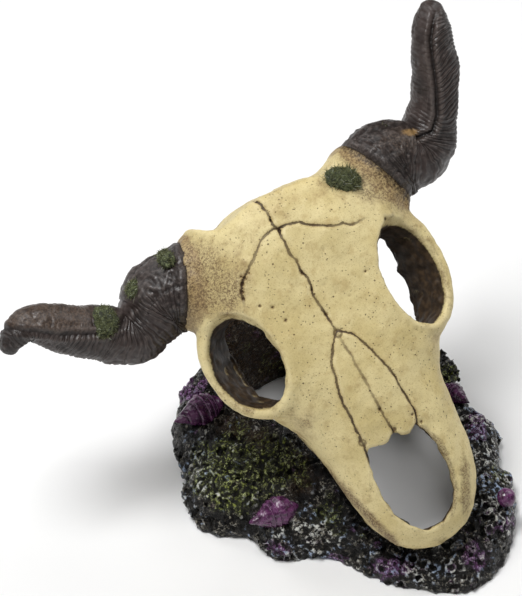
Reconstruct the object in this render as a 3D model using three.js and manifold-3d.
// Aquarium ornament with a bubbler: a hollow cast-resin steer skull with two horns, resting on a
// ring of cast rubble, with painted sea shells and moss tufts bonded on and an air stone hidden
// under the skull.
// Millimetres, +Z is up. The base stands on z = 0. The muzzle points towards -Y (front), the back
// of the base is at +Y, and +X (right) is the side of the raised horn.
import * as THREE from "three";
import { mergeVertices } from "three/addons/utils/BufferGeometryUtils.js";
import Module from "manifold-3d";

const wasm = await Module();
wasm.setup();

// ---- shared dimensions ----
const ORIGIN_SHIFT = [20.04, 3.98, 0]; // puts the middle of the overall box's underside at the origin
const GAP = 0.35; // bond line between neighbouring castings
const BASE_BACK_Y = 61.4; // flat back of the base
const AIR_X = 26; // axis of the air inlet, parallel to Y
const AIR_Z = 11;

// ---- helpers ----
const radians = (degrees) => (degrees * Math.PI) / 180;
const vec = (x, y, z) => new THREE.Vector3(x, y, z);
const translation = (x, y, z) => new THREE.Matrix4().makeTranslation(x, y, z);
const signedPower = (value, exponent) => Math.sign(value) * Math.abs(value) ** exponent;

// Points made at equal angles round a full turn.
const around = (count, pointAt) =>
  Array.from({ length: count }, (_, i) => pointAt((2 * Math.PI * i) / count));

// A frame at a place, turned by Euler angles in degrees.
function frameAt(place, turn, order = "XYZ") {
  const euler = new THREE.Euler(...turn.map(radians), order);
  return translation(...place).multiply(new THREE.Matrix4().makeRotationFromEuler(euler));
}

// Smooth curve through a table of [position, value], level beyond its ends.
function lookUp(table, position) {
  const last = table.length - 1;
  if (position <= table[0][0]) return table[0][1];
  if (position >= table[last][0]) return table[last][1];
  let i = 0;
  while (table[i + 1][0] < position) i++;
  const slope = (k) => {
    const before = table[Math.max(k - 1, 0)];
    const after = table[Math.min(k + 1, last)];
    return (after[1] - before[1]) / (after[0] - before[0]);
  };
  const [start, startValue] = table[i];
  const [end, endValue] = table[i + 1];
  const step = end - start;
  const t = (position - start) / step;
  return (
    (2 * t ** 3 - 3 * t ** 2 + 1) * startValue +
    (t ** 3 - 2 * t ** 2 + t) * step * slope(i) +
    (-2 * t ** 3 + 3 * t ** 2) * endValue +
    (t ** 3 - t ** 2) * step * slope(i + 1)
  );
}

// Smooth value noise in -1..1, the same on every run.
function noise(x, y, z) {
  const hash = (i, j, k) => {
    let bits = Math.imul(i, 374761393) + Math.imul(j, 668265263);
    bits += Math.imul(k, 2147483647) + 1013904223;
    bits = Math.imul(bits ^ (bits >>> 13), 1274126177);
    return ((bits ^ (bits >>> 16)) >>> 0) / 4294967295;
  };
  const mix = (a, b, t) => a + (b - a) * t;
  const ease = (t) => t * t * (3 - 2 * t);
  const [cellX, cellY, cellZ] = [x, y, z].map(Math.floor);
  const alongX = (j, k) => mix(hash(cellX, j, k), hash(cellX + 1, j, k), ease(x - cellX));
  const alongY = (k) => mix(alongX(cellY, k), alongX(cellY + 1, k), ease(y - cellY));
  return 2 * mix(alongY(cellZ), alongY(cellZ + 1), ease(z - cellZ)) - 1;
}

// A closed surface through rings of points, capped at both ends, or joined end to end.
function loft(rings, joined = false) {
  const count = rings[0].length;
  const positions = rings.flat().flatMap((point) => point.toArray());
  const index = [];
  const bands = joined ? rings.length : rings.length - 1;
  for (let i = 0; i < bands; i++) {
    const near = i * count;
    const far = ((i + 1) % rings.length) * count;
    for (let j = 0; j < count; j++) {
      const next = (j + 1) % count;
      index.push(near + j, near + next, far + next, near + j, far + next, far + j);
    }
  }
  const addCap = (ring, flipped) => {
    const middle = vec(0, 0, 0);
    for (const point of rings[ring]) middle.add(point);
    middle.divideScalar(count);
    const hub = positions.length / 3;
    positions.push(...middle.toArray());
    for (let j = 0; j < count; j++) {
      const edge = [ring * count + j, ring * count + ((j + 1) % count)];
      if (flipped) edge.reverse();
      index.push(hub, ...edge);
    }
  };
  if (!joined) {
    addCap(0, true);
    addCap(rings.length - 1, false);
  }
  const geometry = new THREE.BufferGeometry();
  geometry.setAttribute("position", new THREE.Float32BufferAttribute(positions, 3));
  geometry.setIndex(index);
  return geometry;
}

// A manifold solid from a closed geometry, turned right side out if need be.
function solid(geometry, matrix) {
  const flat = geometry.index ? geometry.toNonIndexed() : geometry;
  const bare = new THREE.BufferGeometry();
  bare.setAttribute("position", flat.getAttribute("position").clone());
  if (matrix) bare.applyMatrix4(matrix);
  const merged = mergeVertices(bare, 1e-4);
  const triangles = [];
  for (let i = 0; i < merged.index.count; i += 3) {
    const [a, b, c] = [0, 1, 2].map((corner) => merged.index.getX(i + corner));
    if (a !== b && b !== c && a !== c) triangles.push([a, b, c]);
  }
  const build = () => new wasm.Manifold(new wasm.Mesh({
    numProp: 3,
    vertProperties: merged.attributes.position.array,
    triVerts: new Uint32Array(triangles.flat()),
  }));
  const built = build();
  if (built.volume() >= 0) return built;
  for (const triangle of triangles) triangle.reverse();
  return build();
}

function geometryOf(body) {
  const mesh = body.getMesh();
  const geometry = new THREE.BufferGeometry();
  geometry.setAttribute("position", new THREE.BufferAttribute(mesh.vertProperties.slice(), 3));
  geometry.setIndex(new THREE.BufferAttribute(new Uint32Array(mesh.triVerts), 1));
  geometry.computeVertexNormals();
  return geometry;
}

// The largest body of a cut solid, so that crumbs a cut leaves behind are dropped.
const largest = (body) => body.decompose().sort((a, b) => b.volume() - a.volume())[0];

// A cylinder or cone from one point to another.
function rod(from, to, sides, startRadius, endRadius = startRadius) {
  const direction = to.clone().sub(from);
  const cylinder = new THREE.CylinderGeometry(endRadius, startRadius, direction.length(), sides);
  const turn = new THREE.Quaternion().setFromUnitVectors(vec(0, 1, 0), direction.normalize());
  const middle = from.clone().add(to).multiplyScalar(0.5);
  return solid(cylinder, new THREE.Matrix4().compose(middle, turn, vec(1, 1, 1)));
}

const box = (size, centre) => solid(new THREE.BoxGeometry(...size), translation(...centre));

// ---- skull, in its own frame: x across the face, y from muzzle to crown, z out of the face ----
const SKULL_ORIGIN = [-4, -63, 14]; // underside of the muzzle's lip, on the skull's mid-plane
const SKULL_PITCH = 41.5; // degrees the face climbs from the muzzle to the crown
const SKULL_ROLL = 18.7; // degrees the skull leans over, right horn up
const SKULL_LENGTH = 134.5;
const MUZZLE_TIP = 2; // where the lip starts along y
const WALL = 4; // shell thickness
const HOLLOW_START = 7.5; // where the hollow starts along y
const HOLLOW_DROP = 14; // how far the hollow's cutter reaches below the rim
const RIM_WIDTH = 0.96; // width at the rim as a share of the full width
const ARCH_STEPS = 20;

// The skull's shape, as [distance along y, value].
const HALF_WIDTH = [
  [2, 5], [4, 10], [7, 13.7], [11, 16.7], [16, 19.3], [26, 22.3], [36, 23.5], [46, 24.5],
  [56, 26.5], [64, 31], [72, 35], [86, 37.5], [98, 38.3], [108, 37.8], [116, 36], [124, 33.5],
  [130, 30.5], [134.5, 27],
];
const CREST = [ // height of the top
  [2, 7], [3.5, 10.5], [5, 13], [10, 16], [20, 19], [30, 22], [40, 25.5], [50, 28.5], [60, 30.5],
  [70, 32], [80, 33], [90, 34], [100, 35], [110, 35.5], [120, 35], [128, 33.2], [134.5, 29],
];
const RIM = [[0, 0], [60, -2], [100, -4], [134.5, -6]]; // height of the lower edge
const SHOULDER = [ // height where the sides turn into the arch
  [0, 3], [10, 6], [40, 8], [70, 9], [100, 10], [134.5, 10],
];
const SWAY = [ // sideways drift of the muzzle
  [0, 2.2], [30, 2.3], [44, 1.7], [56, 1], [70, 0.4], [90, 0], [134.5, 0],
];
const SQUARENESS = [[0, 2.1], [40, 2.2], [70, 2.4], [100, 2.5], [134.5, 2.5]]; // 2 is an ellipse
const SKULL_STATIONS = [ // y of the rings between the two ends
  3, 4.5, 6.5, 9, 12.5, 17, 24, 32, 41, 50, 57, 62, 67, 72, 80, 90, 99, 106, 112, 118, 124, 129,
  132.3,
];
const STATION_CLEARANCE = 0.6; // stations closer than this to an end are left out

// The crown's edge stands proud beside each horn and dips nearer the middle.
const CROWN_WAVE = { start: 118, rise: 1.6, riseX: 30, dip: 2.2, dipX: 17, spread: 7 };

// Outline of the nose opening, [x, y].
const NOSE = [
  [8.7, 42.7], [10.4, 39.6], [12.6, 34.8], [13.4, 28.8], [12.8, 23.4], [11.6, 16.6], [8.4, 11.4],
  [4, 8.4], [-1.8, 8.4], [-7.2, 13.1], [-10.2, 18.4], [-11.5, 25.5], [-11.5, 32.2], [-11, 37.6],
  [-9.2, 42.9], [-6.8, 42.2], [-4.6, 41.5], [-2, 41.8], [-0.5, 43.3], [1.1, 43.6], [2.9, 41.9],
  [5.5, 41], [7.2, 42],
];
const NOSE_CUT = { bottom: -30, depth: 80 };

const EYE_TURN = 33; // degrees an eye opening faces outwards
const EYE_RIM = { bottom: -13, top: 1.2, taper: 1 };
const EYE_FLARE = { height: 9, lengthening: 4 };
// Left and right eye: half axes of the opening and its rim, and the rim's offset, about the eye.
const EYES = [
  { centre: [-32.2, 86.3, 21], side: -1, lean: 10, opening: [12.3, 16.6],
    rim: [15.9, 20.6], rimOffset: [0, 0] },
  { centre: [31, 87.5, 21], side: 1, lean: 0, opening: [12.8, 17.3],
    rim: [17, 21], rimOffset: [1.4, 0.8] },
];

const COLLAR = { radius: 15.2, depth: 17, taper: 1 }; // seat of a horn on the skull
const SOCKET = { radius: 11.4, depth: 4.3 }; // recess in the collar's face
const SPIGOT = { radius: 11, length: 4 }; // root of a horn, inside the socket
const DOWEL_R = 1.5;
const DOWEL_HALF = 11; // reach of a dowel to each side of the collar's face
const DOWEL_HOLE_R = DOWEL_R + GAP;
const DOWEL_HOLE_HALF = DOWEL_HALF + 0.5;
const SEAT_SIDES = 28;
const DOWEL_SIDES = 16;
const HORN_STEPS = 24;
const HORN_SIDES = 20;
const ROOT_RINGS = 5; // rings kept clear of the collar's face
const ROOT_RING_RISE = 0.9; // least height each of them gains over the one before

// Each horn: middle and direction of its collar's face, and its path as [x, y, z, radius].
const HORNS = [
  {
    name: "left",
    eye: EYES[0],
    face: vec(-38.7, 119, 10),
    axis: vec(-0.91, 0.41, 0).normalize(),
    path: [
      [-40, 119.5, 10, 14.6], [-47.6, 116.7, 8, 14], [-59, 113.6, 7, 12.2],
      [-69.4, 117, 9, 10.3], [-77.2, 121.5, 12, 8.9], [-84, 126.6, 15, 7.5],
      [-89.8, 130, 17, 6], [-94.8, 130, 17, 4.7], [-98, 127, 16, 3.6],
      [-99.2, 124.2, 15.2, 2.4],
    ],
  },
  {
    name: "right",
    eye: EYES[1],
    face: vec(38.3, 123.5, 10),
    axis: vec(0.91, 0.41, 0).normalize(),
    path: [
      [39.6, 124.1, 10, 14.6], [47.6, 124.9, 9.6, 13.9], [56.4, 126.2, 9, 11.6],
      [63, 131, 12, 9.5], [67.1, 138.6, 17, 8.3], [71.2, 147.9, 22, 7.9],
      [74, 156.2, 25, 6.9], [77.6, 162.5, 26, 4.6], [79.3, 164.7, 26, 3.1],
    ],
  },
];

const SKULL_FRAME = new THREE.Matrix4()
  .makeRotationX(radians(SKULL_PITCH))
  .multiply(new THREE.Matrix4().makeRotationY(-radians(SKULL_ROLL)))
  .setPosition(...SKULL_ORIGIN);

// Cross-section of the skull: an arch on two short sides.
function skullRing(y, shrink, drop) {
  const halfWidth = Math.max(lookUp(HALF_WIDTH, y) - shrink, 0.8);
  const shoulder = lookUp(SHOULDER, y);
  const top = Math.max(lookUp(CREST, y) - shrink, shoulder + 0.8);
  const rim = lookUp(RIM, y) - drop;
  const exponent = 2 / lookUp(SQUARENESS, y);
  const points = [vec(halfWidth * RIM_WIDTH, y, rim)];
  for (let i = 0; i <= ARCH_STEPS; i++) {
    const angle = (Math.PI * i) / ARCH_STEPS;
    const rise = Math.max(0, Math.sin(angle)) ** exponent;
    const x = halfWidth * signedPower(Math.cos(angle), exponent);
    points.push(vec(x, y, shoulder + (top - shoulder) * rise));
  }
  points.push(vec(-halfWidth * RIM_WIDTH, y, rim));

  const { start, rise, riseX, dip, dipX, spread } = CROWN_WAVE;
  const strength = Math.max(0, (y - start) / (SKULL_LENGTH - start));
  const sway = lookUp(SWAY, y);
  for (const point of points) {
    point.x += sway;
    const bump = (x) => Math.exp(-(((Math.abs(point.x) - x) / spread) ** 2));
    point.y += strength * (rise * bump(riseX) - dip * bump(dipX));
  }
  return points;
}

function skullDome(shrink, drop, start, end) {
  const between = SKULL_STATIONS.filter(
    (y) => y > start + STATION_CLEARANCE && y < end - STATION_CLEARANCE,
  );
  return solid(loft([start, ...between, end].map((y) => skullRing(y, shrink, drop))));
}

// An elliptical tube on an eye's axis between two ends, each [depth, half width, half height].
function eyeTube(eye, ends, [offsetX, offsetY] = [0, 0]) {
  const frame = translation(...eye.centre)
    .multiply(new THREE.Matrix4().makeRotationY(eye.side * radians(EYE_TURN)))
    .multiply(new THREE.Matrix4().makeRotationZ(radians(eye.lean)));
  const rings = ends.map(([z, halfWidth, halfHeight]) => around(28, (angle) =>
    vec(offsetX + halfWidth * Math.cos(angle), offsetY + halfHeight * Math.sin(angle), z)));
  return solid(loft(rings), frame);
}

// The raised rim round an eye opening, grown by a small amount.
function eyeRim(eye, grow) {
  const { bottom, top, taper } = EYE_RIM;
  const ends = [
    [bottom - grow, ...eye.rim.map((half) => half + grow)],
    [top + grow, ...eye.rim.map((half) => half - taper + grow)],
  ];
  return eyeTube(eye, ends, eye.rimOffset);
}

// A rod on the axis of a horn's seat, between two distances from the collar's face.
function seatRod(horn, from, to, sides, startRadius, endRadius) {
  const along = (distance) => horn.face.clone().addScaledVector(horn.axis, distance);
  return rod(along(from), along(to), sides, startRadius, endRadius);
}

function hornCollar(horn, grow) {
  const { radius, depth, taper } = COLLAR;
  return seatRod(horn, -depth, grow, SEAT_SIDES, radius - taper + grow, radius + grow);
}

// The outside of the skull, grown by a small amount: cuts what rests against it.
function skullOutside(grow) {
  let body = skullDome(-grow, grow, MUZZLE_TIP - grow, SKULL_LENGTH + grow);
  for (const eye of EYES) body = body.add(eyeRim(eye, grow));
  for (const horn of HORNS) body = body.add(hornCollar(horn, grow));
  return body;
}

function skullShell() {
  let skull = skullDome(0, 0, MUZZLE_TIP, SKULL_LENGTH);
  for (const eye of EYES) skull = skull.add(eyeRim(eye, 0));
  skull = skull.subtract(skullDome(WALL, HOLLOW_DROP, HOLLOW_START, SKULL_LENGTH - WALL));
  for (const horn of HORNS) skull = skull.add(hornCollar(horn, 0));
  for (const eye of EYES) {
    const [halfWidth, halfHeight] = eye.opening;
    const { height, lengthening } = EYE_FLARE;
    const flaredWidth = halfWidth + height * Math.tan(radians(EYE_TURN));
    skull = skull
      .subtract(eyeTube(eye, [[-30, ...eye.opening], [0.05, ...eye.opening]]))
      .subtract(eyeTube(eye, [
        [0, ...eye.opening],
        [height, flaredWidth, halfHeight + lengthening],
      ]));
  }
  const nose = new THREE.ExtrudeGeometry(
    new THREE.Shape(NOSE.map(([x, y]) => new THREE.Vector2(x, y))),
    { depth: NOSE_CUT.depth, bevelEnabled: false },
  );
  skull = skull.subtract(solid(nose, translation(0, 0, NOSE_CUT.bottom)));
  for (const horn of HORNS) {
    skull = skull
      .subtract(seatRod(horn, -SOCKET.depth, 3, SEAT_SIDES, SOCKET.radius))
      .subtract(seatRod(horn, -DOWEL_HOLE_HALF, 1, DOWEL_SIDES, DOWEL_HOLE_R));
  }
  return largest(skull);
}

// ---- horns: tapered tubes, grown by a small amount, starting at a height over the collar ----
function hornTube({ face, axis, path }, grow, start) {
  const centres = path.map(([x, y, z]) => vec(x, y, z));
  const curve = new THREE.CatmullRomCurve3(centres, false, "centripetal");
  const rings = [];
  let side = vec(0, 0, 1);
  for (let i = 0; i <= HORN_STEPS; i++) {
    const t = i / HORN_STEPS;
    const centre = curve.getPoint(t);
    const direction = curve.getTangent(t);
    if (i < 2) direction.lerp(axis, 1 - i / 2).normalize(); // the root lies flat on its collar
    side = side.clone().addScaledVector(direction, -side.dot(direction)).normalize();
    const across = direction.clone().cross(side);
    const place = t * (path.length - 1);
    const j = Math.min(Math.floor(place), path.length - 2);
    const radius = path[j][3] + (path[j + 1][3] - path[j][3]) * (place - j) + grow;
    rings.push(around(HORN_SIDES, (angle) => centre.clone()
      .addScaledVector(side, radius * Math.cos(angle))
      .addScaledVector(across, radius * Math.sin(angle))));
  }
  const heightOf = (point) => point.clone().sub(face).dot(axis);
  // no part of the root dips back under the collar's face
  for (let i = 1; i <= ROOT_RINGS; i++) {
    for (const point of rings[i]) {
      const shortfall = start + ROOT_RING_RISE * i - heightOf(point);
      point.addScaledVector(axis, Math.max(0, shortfall));
    }
  }
  for (const point of rings[0]) point.addScaledVector(axis, start - heightOf(point));
  return solid(loft(rings));
}

function hornBody(horn) {
  return largest(hornTube(horn, 0, GAP)
    .subtract(eyeRim(horn.eye, GAP))
    .add(seatRod(horn, -SPIGOT.length, 2, SEAT_SIDES, SPIGOT.radius))
    .subtract(seatRod(horn, -8, DOWEL_HOLE_HALF, DOWEL_SIDES, DOWEL_HOLE_R)));
}

const hornDowel = (horn) => seatRod(horn, -DOWEL_HALF, DOWEL_HALF, DOWEL_SIDES, DOWEL_R);

const skullEnvelope = skullOutside(GAP);
const [leftEnvelope, rightEnvelope] = HORNS.map((horn) => hornTube(horn, GAP, 0));

// ---- moss tufts, bonded to the skull and the horns, in the skull's frame ----
const MOSS_ROUGHNESS = { amount: 0.09, frequency: 3 };
// [name, envelope of the nearby horn, centre, half axes, turn in degrees]
const MOSS = [
  ["moss_crown", rightEnvelope, [23.2, 125.8, 29.4], [7.6, 5.1, 3], [-8, 22, -27]],
  ["moss_left_root", leftEnvelope, [-40.2, 129.1, 20.6], [3.2, 4.6, 2.8], [-41, 0, 0]],
  ["moss_left_elbow", leftEnvelope, [-53.6, 125.2, 17], [4.8, 3.2, 2], [-45, 0, 48]],
  ["moss_left_mid", leftEnvelope, [-67.5, 119.8, 18.6], [4.9, 6.8, 2.6], [-18, 0, -26]],
  ["moss_right_root", rightEnvelope, [45.2, 137.2, 15.6], [6.4, 2.9, 2.1], [-70, 0, -41]],
];

function mossTuft(hornEnvelope, centre, halfAxes, turn) {
  const { amount, frequency } = MOSS_ROUGHNESS;
  const sphere = new THREE.SphereGeometry(1, 14, 9);
  const positions = sphere.getAttribute("position");
  for (let i = 0; i < positions.count; i++) {
    const point = [positions.getX(i), positions.getY(i), positions.getZ(i)];
    const swell = 1 + amount * noise(...point.map((value, k) => frequency * value + centre[k]));
    positions.setXYZ(i, ...point.map((value, k) => value * halfAxes[k] * swell));
  }
  const tuft = solid(sphere, frameAt(centre, turn));
  return largest(tuft.subtract(skullEnvelope).subtract(hornEnvelope));
}

// ---- sea shells on the base ----
// Spindle with stepped whorls, [share of the length, share of the radius].
const SPINDLE = [
  [0, 0], [0.05, 0.16], [0.11, 0.2], [0.13, 0.33], [0.21, 0.4], [0.24, 0.56], [0.34, 0.66],
  [0.38, 0.88], [0.48, 1], [0.58, 0.98], [0.7, 0.78], [0.82, 0.5], [0.92, 0.28], [1, 0],
];
// [name, centre, length, radius, turn in degrees]
const SPINDLE_SHELLS = [
  ["shell_left", [-31.2, 35.6, 18.9], 20.5, 5.5, [0, -6, 84]],
  ["shell_front", [-37.8, -16.4, 15.5], 20.5, 4.7, [0, -14, -98]],
  ["shell_right", [46.5, -9.5, 20], 14, 3.7, [0, 0, 192]],
];
const SNAIL = { centre: [29.5, -60.5, 15.5], radius: 3.4 };

function spindleShell(centre, length, radius, turn, grow) {
  const profile = SPINDLE.map(([along, out]) =>
    new THREE.Vector2(out * (radius + grow), (along - 0.5) * (length + 2 * grow)));
  return solid(new THREE.LatheGeometry(profile, 16), frameAt(centre, turn, "ZYX"));
}

// A round sea snail to the right of the muzzle.
function seaSnail(grow) {
  const sphere = new THREE.SphereGeometry(SNAIL.radius + grow, 14, 9);
  return solid(sphere, translation(...SNAIL.centre));
}

// Each shell's name and its builder, which takes the amount to grow it by.
const SHELLS = [
  ...SPINDLE_SHELLS.map(([name, ...shape]) => [name, (grow) => spindleShell(...shape, grow)]),
  ["sea_snail", seaSnail],
];

// ---- air line dimensions; places along the inlet axis are world y ----
const BORE_R = 1.1; // air passage of the elbow and the stone's stem
const STEM_R = 2.2;
const THROUGH_WALL = [40, 70]; // reach of the cutters through the base's back wall
const THROUGH_INNER = [20, 60]; // reach of the cutters inside the base
const WALL_BORE_R = 5;
const COUNTERBORE = { start: 59.8, radius: 7.5 };
const GROMMET = { start: 49.6, end: 60.2, radius: 4.7, boreRadius: 2.3 };
const FLANGE = { start: 60.1, end: 61.7, radius: 6.8 };
const ELBOW = { y: 65.4, radius: 3.3, stemStart: 44, collarStart: 62.1 };
const LEG = { thickTop: 6, thinStart: 5.9, top: 19, thinRadius: 1.9 }; // heights over the axis
const BARBS = { starts: [9, 12.4, 15.8], length: 2.6, radius: 2.55, tipRadius: 1.95 };
const TUBE = { start: 28.5, end: 49.2, radius: 3.9, boreRadius: 2.7 };
const STONE_STEM = { start: 20.5, end: 36, endRadius: 2.1 };
const STONE_STEM_COLLAR = { start: 26.4, end: 28, radius: 3.3 };
const STONE = { start: 6, length: 20, radius: 6 };
const STONE_ENDS = [[0, 0], [4.6, 0], [5.6, 0.5], [STONE.radius, 1.6]]; // [radius, inset]
const CLIP = { start: 12, end: 18, radius: 8.2, boreRadius: STONE.radius + GAP };
const CLIP_Y = (CLIP.start + CLIP.end) / 2;
const CLIP_TAIL = [10, CLIP.end - CLIP.start, 5];
const CLIP_TAIL_X = AIR_X + CLIP.radius + 4;
const CLIP_MOUTH = { size: [7.4, 8, 12], rise: 8 }; // opening in the clip's top
const TAIL_POCKET = [9.6, CLIP_TAIL[1] + 2 * GAP, CLIP_TAIL[2] + 2 * GAP];
const TAIL_POCKET_EXTRA = 1; // how far the pocket reaches past the tail

// A rod on the air inlet's axis.
const airRod = (from, to, sides, startRadius, endRadius) =>
  rod(vec(AIR_X, from, AIR_Z), vec(AIR_X, to, AIR_Z), sides, startRadius, endRadius);

// ---- base: a ring of rubble with a flat back and a prop under the crown ----
const BASE_OUTLINE = [ // [x, y], counter-clockwise from the right
  [60.5, 13.1], [55.3, -7.7], [53.8, -18], [54.4, -26.2], [50.3, -34.2], [46.2, -42.1],
  [43.5, -50.4], [38.5, -57.5], [31.4, -64.7], [24.2, -70.1], [15.9, -74.3], [6.6, -76.6],
  [-4.2, -73.5], [-12.3, -65.3], [-20.1, -55.4], [-23.6, -45.8], [-28.5, -35.3], [-36, -29.9],
  [-43.2, -24.5], [-44.7, -17.5], [-45.7, -9.6], [-52.1, -3.8], [-55.3, 4.7], [-53.9, 13.4],
  [-47.3, 22.2], [-44.4, 30.2], [-41.5, 38.2], [-37.6, 45.2], [-31.8, 51.6], [-25, 57],
  [-13, 60], [2, 60.5], [17, 60.5], [32, 60], [43, 54], [51, 44], [56.1, 33], [61.8, 23.3],
].map((point) => point);
const BASE_OPENING = [ // [x, y]
  [40, 12], [39.5, -3], [38.5, -16], [35, -28], [28, -42], [20, -49], [10, -52], [0, -49],
  [-4, -43], [-8, -32], [-11, -18], [-12, 0], [-12, 16], [-11, 31], [-8, 42], [-2, 48.5],
  [6, 50.5], [18, 50], [28, 46], [35, 38], [39, 26],
];
const RUBBLE_HEIGHT = [ // [degrees counter-clockwise from +X, height]
  [0, 19], [30, 18], [60, 20], [90, 26], [120, 26], [150, 27], [180, 29], [205, 27], [230, 20],
  [255, 14], [275, 15], [300, 15], [330, 18], [360, 19],
];
const RUBBLE_PROFILE = [ // [share of the way from outline to opening, share of the height]
  [0, 0], [-0.01, 0.2], [0.06, 0.45], [0.18, 0.64], [0.34, 0.8], [0.52, 0.93], [0.7, 1],
  [0.86, 0.97], [0.98, 0.72], [1.02, 0.35], [1, 0],
];
const RING_MIDDLE = vec(4, -6, 0); // the ring's sections stand on rays from here
const SPOKES = 72;
const PROP = [ // [z, centre x, centre y, half width, half depth], leaning forward as it rises
  [0, 3, 54.4, 24, 6.6], [10, 3, 53.6, 24, 6.4], [22, 2.5, 51.9, 22.5, 6.6],
  [36, 2, 50, 19.5, 6.9], [50, 1, 47.8, 17.5, 7.3], [64, 0, 45, 16.5, 7.6],
  [78, -1, 41.6, 16.2, 7.6], [91, -2, 38, 16.6, 7.2],
];
const PROP_EXPONENT = 0.75; // below 1 squares the section
const INLET_BOSS = [ // [y, half width, height]
  [48.4, 10.5, 19], [50, 12.4, 21], [60, 13, 21.5], [BASE_BACK_Y, 12.6, 21],
];
const BOSS_EXPONENT = 0.55;

function closedCurve(outline, count) {
  const points = outline.map(([x, y]) => vec(x, y, 0));
  const curve = new THREE.CatmullRomCurve3(points, true, "centripetal");
  return curve.getPoints(count).slice(0, -1);
}

// Distance from the ring's middle to the farthest crossing of a closed outline at an angle.
function rayDistance(samples, angle) {
  const ray = vec(Math.cos(angle), Math.sin(angle), 0);
  let farthest = 0;
  samples.forEach((start, i) => {
    const edge = samples[(i + 1) % samples.length].clone().sub(start);
    const offset = start.clone().sub(RING_MIDDLE);
    const cross = ray.x * edge.y - ray.y * edge.x;
    if (Math.abs(cross) < 1e-9) return;
    const distance = (offset.x * edge.y - offset.y * edge.x) / cross;
    const share = (offset.x * ray.y - offset.y * ray.x) / cross;
    if (share >= -1e-6 && share <= 1 + 1e-6) farthest = Math.max(farthest, distance);
  });
  return farthest;
}

function rubbleRing() {
  const outer = closedCurve(BASE_OUTLINE, 300);
  const inner = closedCurve(BASE_OPENING, 240);
  return solid(loft(around(SPOKES, (angle) => {
    const outerRadius = rayDistance(outer, angle);
    const innerRadius = rayDistance(inner, angle);
    const height = lookUp(RUBBLE_HEIGHT, (angle * 180) / Math.PI);
    return RUBBLE_PROFILE.map(([inward, up]) => {
      const radius = outerRadius + (innerRadius - outerRadius) * inward;
      const x = RING_MIDDLE.x + radius * Math.cos(angle);
      const y = RING_MIDDLE.y + radius * Math.sin(angle);
      const point = vec(x, y, up * height);
      if (up > 0) {
        const { z } = point;
        const coarse = 1.5 * noise(x / 7, y / 7, z / 7);
        const rough = coarse + 0.8 * noise(x / 3.3 + 9, y / 3.3, z / 3.3);
        point.z = Math.max(1.2, z + 1.3 * rough * Math.min(1, up * 2));
        const outward = inward < 0.15 ? 0.5 * rough : 0; // only the outer face is pushed out
        point.x += outward * Math.cos(angle);
        point.y += outward * Math.sin(angle);
      }
      point.y = Math.min(point.y, BASE_BACK_Y);
      return point;
    });
  }), true));
}

// The prop rises from the back of the ring to the skull's rear edge.
function crownProp() {
  return solid(loft(PROP.map(([z, x, y, halfWidth, halfDepth]) => around(26, (angle) => {
    const [cos, sin] = [Math.cos(angle), Math.sin(angle)];
    const swell = z > 0 ? 1 + 0.07 * noise(cos * 2 + 5, sin * 2, z / 9) : 1;
    const back = y + halfDepth * signedPower(sin, PROP_EXPONENT) * swell;
    const across = x + halfWidth * signedPower(cos, PROP_EXPONENT) * swell;
    return vec(across, Math.min(BASE_BACK_Y, back), z);
  }))));
}

// The lump with rounded shoulders that the air inlet goes through.
function inletBoss() {
  return solid(loft(INLET_BOSS.map(([y, halfWidth, height]) =>
    Array.from({ length: 20 }, (_, i) => {
      const angle = (Math.PI * i) / 19;
      const x = AIR_X + halfWidth * signedPower(Math.cos(angle), BOSS_EXPONENT);
      return vec(x, y, height * Math.max(0, Math.sin(angle)) ** BOSS_EXPONENT);
    }))));
}

function rockBase() {
  let base = rubbleRing().add(crownProp()).subtract(skullEnvelope.transform(SKULL_FRAME.elements));
  for (const [, build] of SHELLS) base = base.subtract(build(GAP));
  const pocketEnd = CLIP_TAIL_X + CLIP_TAIL[0] / 2 + TAIL_POCKET_EXTRA;
  return largest(base
    .add(inletBoss())
    .subtract(airRod(...THROUGH_WALL, 32, WALL_BORE_R))
    .subtract(airRod(COUNTERBORE.start, THROUGH_WALL[1], 32, COUNTERBORE.radius))
    .subtract(box(TAIL_POCKET, [pocketEnd - TAIL_POCKET[0] / 2, CLIP_Y, AIR_Z])));
}

// ---- air line: grommet, elbow, inner tube, stone and its clip ----
const inletGrommet = () =>
  airRod(GROMMET.start, GROMMET.end, 32, GROMMET.radius)
    .add(airRod(FLANGE.start, FLANGE.end, 32, FLANGE.radius))
    .subtract(airRod(...THROUGH_WALL, 32, GROMMET.boreRadius));

// A stem through the grommet, turning up into a barbed leg behind the base.
function airlineElbow() {
  const { y, radius, stemStart, collarStart } = ELBOW;
  const legRod = (from, to, ...shape) =>
    rod(vec(AIR_X, y, AIR_Z + from), vec(AIR_X, y, AIR_Z + to), ...shape);
  let elbow = airRod(stemStart, y, 24, STEM_R)
    .add(airRod(collarStart, y, 24, radius))
    .add(solid(new THREE.SphereGeometry(radius, 24, 12), translation(AIR_X, y, AIR_Z)))
    .add(legRod(0, LEG.thickTop, 24, radius))
    .add(legRod(LEG.thinStart, LEG.top, 24, LEG.thinRadius));
  for (const z of BARBS.starts) {
    elbow = elbow.add(legRod(z, z + BARBS.length, 24, BARBS.radius, BARBS.tipRadius));
  }
  return elbow
    .subtract(legRod(0, 25, 16, BORE_R))
    .subtract(airRod(THROUGH_WALL[0], y, 16, BORE_R));
}

const innerAirTube = () =>
  airRod(TUBE.start, TUBE.end, 24, TUBE.radius)
    .subtract(airRod(...THROUGH_INNER, 24, TUBE.boreRadius));

function airStoneStem() {
  const { start, end, radius } = STONE_STEM_COLLAR;
  return airRod(STONE_STEM.start, STONE_STEM.end, 24, STEM_R, STONE_STEM.endRadius)
    .add(airRod(start, end, 24, radius))
    .subtract(airRod(...THROUGH_INNER, 16, BORE_R));
}

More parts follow.
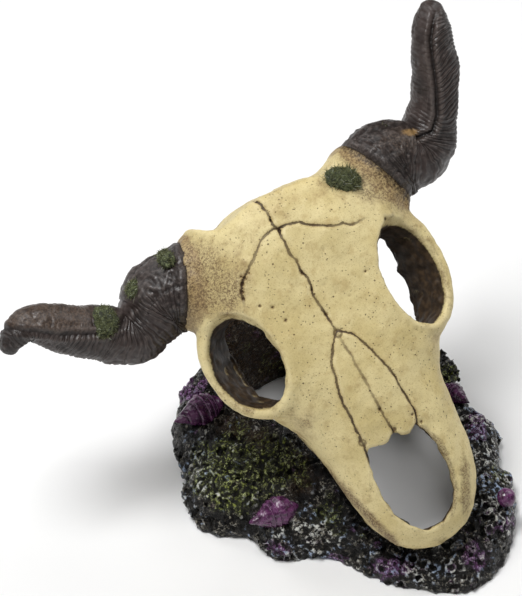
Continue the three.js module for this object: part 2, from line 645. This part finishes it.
// A lathed rod with rounded ends and a blind hole for its stem.
function airStone() {
  const farEnd = STONE_ENDS.map(([radius, inset]) => [radius, STONE.length - inset]).reverse();
  const profile = [...STONE_ENDS, ...farEnd].map(([x, y]) => new THREE.Vector2(x, y));
  return solid(new THREE.LatheGeometry(profile, 28), translation(AIR_X, STONE.start, AIR_Z))
    .subtract(airRod(20, 30, 24, STEM_R + GAP));
}

const stoneClip = () =>
  airRod(CLIP.start, CLIP.end, 32, CLIP.radius)
    .add(box(CLIP_TAIL, [CLIP_TAIL_X, CLIP_Y, AIR_Z]))
    .subtract(airRod(10, 20, 32, CLIP.boreRadius))
    .subtract(box(CLIP_MOUTH.size, [AIR_X, CLIP_Y, AIR_Z + CLIP_MOUTH.rise]));

// ---- materials ----
const paint = (look) => new THREE.MeshStandardMaterial(look);
const bone = paint({ color: 0xc9b27a, roughness: 0.6 });
const hornBrown = paint({ color: 0x4a3f3a, roughness: 0.5 });
const rock = paint({ color: 0x3a3a30, roughness: 0.6 });
const purple = paint({ color: 0x7a2a78, roughness: 0.35 });
const mossGreen = paint({ color: 0x3d5a26, roughness: 0.9 });
const steel = paint({ color: 0x9a9a9a, roughness: 0.35, metalness: 1 });
const rubber = paint({ color: 0x1c1c1c, roughness: 0.8 });
const paleTube = paint({ color: 0xd8e4e6, roughness: 0.3 });
const plastic = paint({ color: 0x22252a, roughness: 0.4 });
const grit = paint({ color: 0x6d8fb5, roughness: 0.95 });

// ---- assembly ----
const root = new THREE.Group();
root.position.set(...ORIGIN_SHIFT);
const skullGroup = new THREE.Group(); // the skull and all that is bonded to it, tilted as one
skullGroup.applyMatrix4(SKULL_FRAME);
root.add(skullGroup);

function place(parent, name, body, material) {
  const mesh = new THREE.Mesh(geometryOf(body), material);
  mesh.name = name;
  parent.add(mesh);
}

place(skullGroup, "skull_shell", skullShell(), bone);
for (const horn of HORNS) place(skullGroup, `horn_${horn.name}`, hornBody(horn), hornBrown);
for (const horn of HORNS) place(skullGroup, `horn_dowel_${horn.name}`, hornDowel(horn), steel);
for (const [name, ...shape] of MOSS) place(skullGroup, name, mossTuft(...shape), mossGreen);
place(root, "rock_base", rockBase(), rock);
for (const [name, build] of SHELLS) place(root, name, build(0), purple);
place(root, "inlet_grommet", inletGrommet(), rubber);
place(root, "airline_elbow", airlineElbow(), plastic);
place(root, "inner_air_tube", innerAirTube(), paleTube);
place(root, "air_stone_stem", airStoneStem(), plastic);
place(root, "air_stone", airStone(), grit);
place(root, "stone_clip", stoneClip(), plastic);

export default root;
